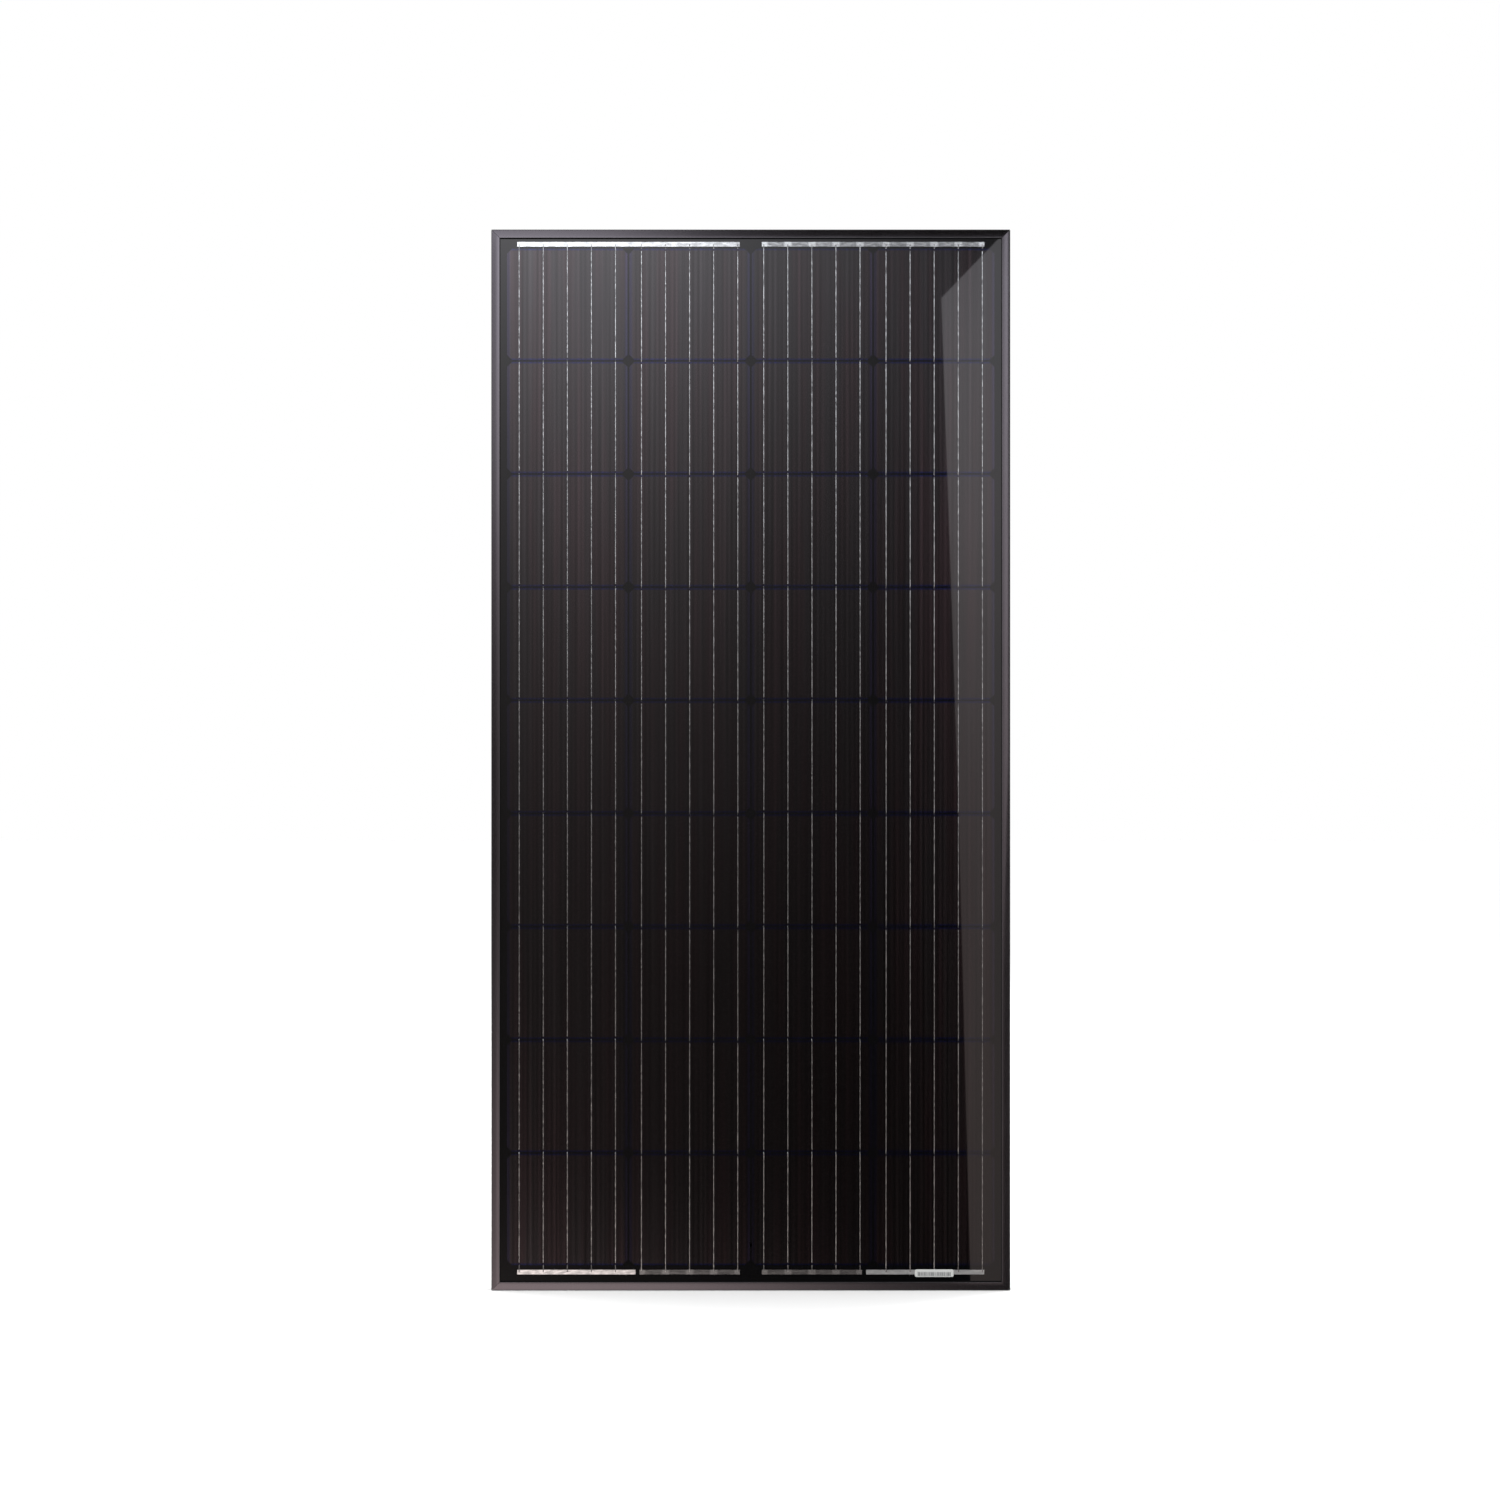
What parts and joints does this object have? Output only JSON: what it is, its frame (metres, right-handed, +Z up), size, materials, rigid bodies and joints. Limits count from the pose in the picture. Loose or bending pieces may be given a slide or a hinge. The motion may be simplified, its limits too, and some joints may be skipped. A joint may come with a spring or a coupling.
{
  "type": "solar panel",
  "caption": "Framed black monocrystalline photovoltaic panel, glass front, mitred aluminium frame with slotted rear flanges, rear junction box with hinged lid.",
  "frame": {"origin": "centre of the rear mounting plane, the outer face of the frame's rear flanges", "axes": "+Z up along the long side, +X to the right as seen from the front, +Y out of the back; the glass faces -Y"},
  "size_m": [0.675, 0.035, 1.38],
  "materials": {
    "anodised_frame": "black anodised, satin",
    "milled_aluminium": "sawn and milled",
    "front_glass": "clear toughened glass, smooth",
    "encapsulant": "clear encapsulant film",
    "silicon_cell": "black textured silicon with fine printed fingers",
    "tinned_ribbon": "solder-coated copper strip",
    "backsheet": "black laminated film, satin",
    "black_rubber": "matt black rubber and foam tape",
    "box_plastic": "black moulded plastic, fine spark texture",
    "label_film": "printed sticker",
    "sealant": "black silicone"
  },
  "bodies": {
    "panel": {"frame_rail_left": "anodised_frame", "frame_rail_right": "anodised_frame", "frame_rail_top": "anodised_frame", "frame_rail_bottom": "anodised_frame", "corner_key_top_left": "milled_aluminium", "corner_key_top_right": "milled_aluminium", "corner_key_bottom_left": "milled_aluminium", "corner_key_bottom_right": "milled_aluminium", "solar_cell_string_1_row_1": "silicon_cell", "solar_cell_string_1_row_2": "silicon_cell", "solar_cell_string_1_row_3": "silicon_cell", "solar_cell_string_1_row_4": "silicon_cell", "solar_cell_string_1_row_5": "silicon_cell", "solar_cell_string_1_row_6": "silicon_cell", "solar_cell_string_1_row_7": "silicon_cell", "solar_cell_string_1_row_8": "silicon_cell", "solar_cell_string_1_row_9": "silicon_cell", "solar_cell_string_2_row_1": "silicon_cell", "solar_cell_string_2_row_2": "silicon_cell", "solar_cell_string_2_row_3": "silicon_cell", "solar_cell_string_2_row_4": "silicon_cell", "solar_cell_string_2_row_5": "silicon_cell", "solar_cell_string_2_row_6": "silicon_cell", "solar_cell_string_2_row_7": "silicon_cell", "solar_cell_string_2_row_8": "silicon_cell", "solar_cell_string_2_row_9": "silicon_cell", "solar_cell_string_3_row_1": "silicon_cell", "solar_cell_string_3_row_2": "silicon_cell", "solar_cell_string_3_row_3": "silicon_cell", "solar_cell_string_3_row_4": "silicon_cell", "solar_cell_string_3_row_5": "silicon_cell", "solar_cell_string_3_row_6": "silicon_cell", "solar_cell_string_3_row_7": "silicon_cell", "solar_cell_string_3_row_8": "silicon_cell", "solar_cell_string_3_row_9": "silicon_cell", "solar_cell_string_4_row_1": "silicon_cell", "solar_cell_string_4_row_2": "silicon_cell", "solar_cell_string_4_row_3": "silicon_cell", "solar_cell_string_4_row_4": "silicon_cell", "solar_cell_string_4_row_5": "silicon_cell", "solar_cell_string_4_row_6": "silicon_cell", "solar_cell_string_4_row_7": "silicon_cell", "solar_cell_string_4_row_8": "silicon_cell", "solar_cell_string_4_row_9": "silicon_cell", "bus_ribbon_top_left": "tinned_ribbon", "bus_ribbon_top_right": "tinned_ribbon", "bus_ribbon_bottom_1": "tinned_ribbon", "bus_ribbon_bottom_2": "tinned_ribbon", "bus_ribbon_bottom_3": "tinned_ribbon", "bus_ribbon_bottom_4": "tinned_ribbon", "front_glass": "front_glass", "encapsulant_front": "encapsulant", "encapsulant_rear": "encapsulant", "backsheet": "backsheet", "edge_seal": "black_rubber", "lid_gasket": "black_rubber", "junction_box_base": "box_plastic", "gland_nut_left": "box_plastic", "gland_nut_right": "box_plastic"},
    "box_lid": {"junction_box_lid": "box_plastic"}
  },
  "joints": [
    {"name": "lid_hinge", "type": "hinge", "parent": "panel", "child": "box_lid", "pos_m": [0, -0.00625, -0.5438], "axis": [1, 0, 0], "range_deg": [0, 110]}
  ]
}
